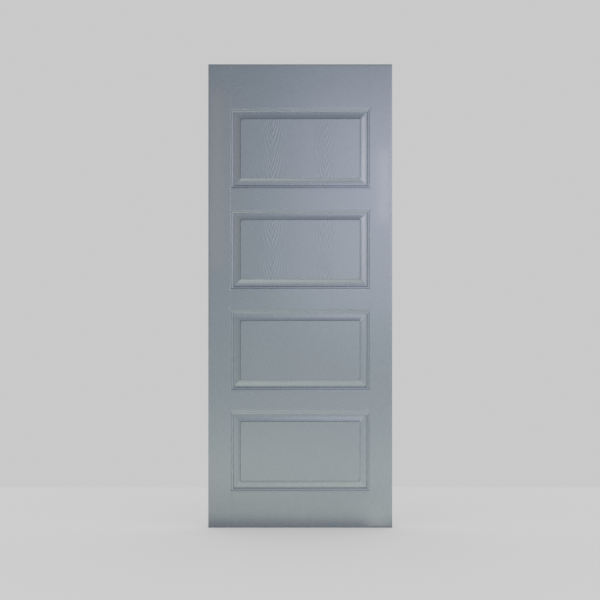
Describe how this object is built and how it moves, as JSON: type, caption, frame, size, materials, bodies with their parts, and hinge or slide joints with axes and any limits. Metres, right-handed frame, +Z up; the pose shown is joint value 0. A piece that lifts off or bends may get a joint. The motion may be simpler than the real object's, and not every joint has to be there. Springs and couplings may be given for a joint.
{
  "type": "panelled front door leaf",
  "caption": "Moulded front door leaf with a column of raised rectangular panels, cove mouldings and embossed wood grain; hung on hinges, it closes a doorway.",
  "frame": {"origin": "the middle of the leaf's bottom edge, on the floor plane", "axes": "+Z up, +X across the leaf from the hinge edge to the lock edge, -Y out of the outer face"},
  "size_m": [0.81, 0.044, 2.04],
  "materials": {
    "skin": "blue-grey moulded glass-fibre skin, satin, with embossed oak grain",
    "laminated_timber": "laminated veneer lumber, planed, uncoated",
    "composite_board": "moisture-proof composite board, sawn",
    "edge_band": "extruded PVC band in the skin's colour, satin",
    "foam": "rigid polyurethane foam",
    "fastener_steel": "bright zinc-plated strip"
  },
  "bodies": {
    "root": {"outer_skin": "skin", "inner_skin": "skin", "hinge_stile": "laminated_timber", "lock_stile": "laminated_timber", "top_rail": "laminated_timber", "lock_block": "laminated_timber", "bottom_rail": "composite_board", "hinge_edge_band": "edge_band", "lock_edge_band": "edge_band", "foam_core": "foam", "corner_fasteners": "fastener_steel"}
  },
  "joints": []
}
